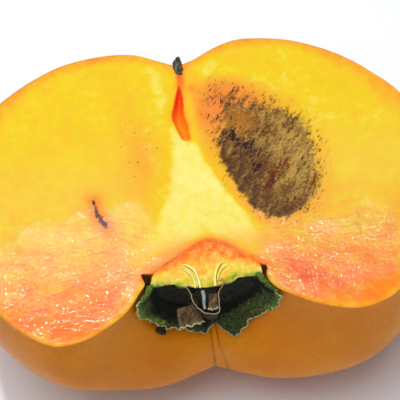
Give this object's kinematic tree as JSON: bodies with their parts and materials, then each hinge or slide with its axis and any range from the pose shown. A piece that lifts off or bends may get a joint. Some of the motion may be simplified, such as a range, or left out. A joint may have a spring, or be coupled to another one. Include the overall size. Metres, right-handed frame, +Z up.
{
  "type": "persimmon half",
  "caption": "Half of a flat, lobed persimmon cut lengthwise, resting cut face up, with seed slit, core, bruise, cut calyx and dried sepals.",
  "frame": {"origin": "middle of the half's footprint, at the level of the flat spot it rests on", "axes": "+Z up, out of the level cut face; +Y along the fruit's axis from the calyx to the style; +X across the cut face, to the right with the calyx nearest"},
  "size_m": [0.0856, 0.0584, 0.0386],
  "materials": {
    "flesh": "wet cut flesh, yellow to orange; waxy amber-orange skin",
    "calyx": "cut green-yellow receptacle, pulpy",
    "sepal": "dried dark green leaf, rough",
    "sheath": "thin dry papery sheath",
    "strand": "pale dry woody strand",
    "bract": "brown dried scale",
    "style": "dark dried style, rough"
  },
  "bodies": {
    "root": {"fruit_half": "flesh", "calyx_disc": "calyx", "sepal_left": "sepal", "sepal_right": "sepal", "stalk_sheath": "sheath", "stalk_core": "strand", "bract_left": "bract", "bract_right": "bract", "style_tip": "style", "pit_scrap": "bract"}
  },
  "joints": []
}
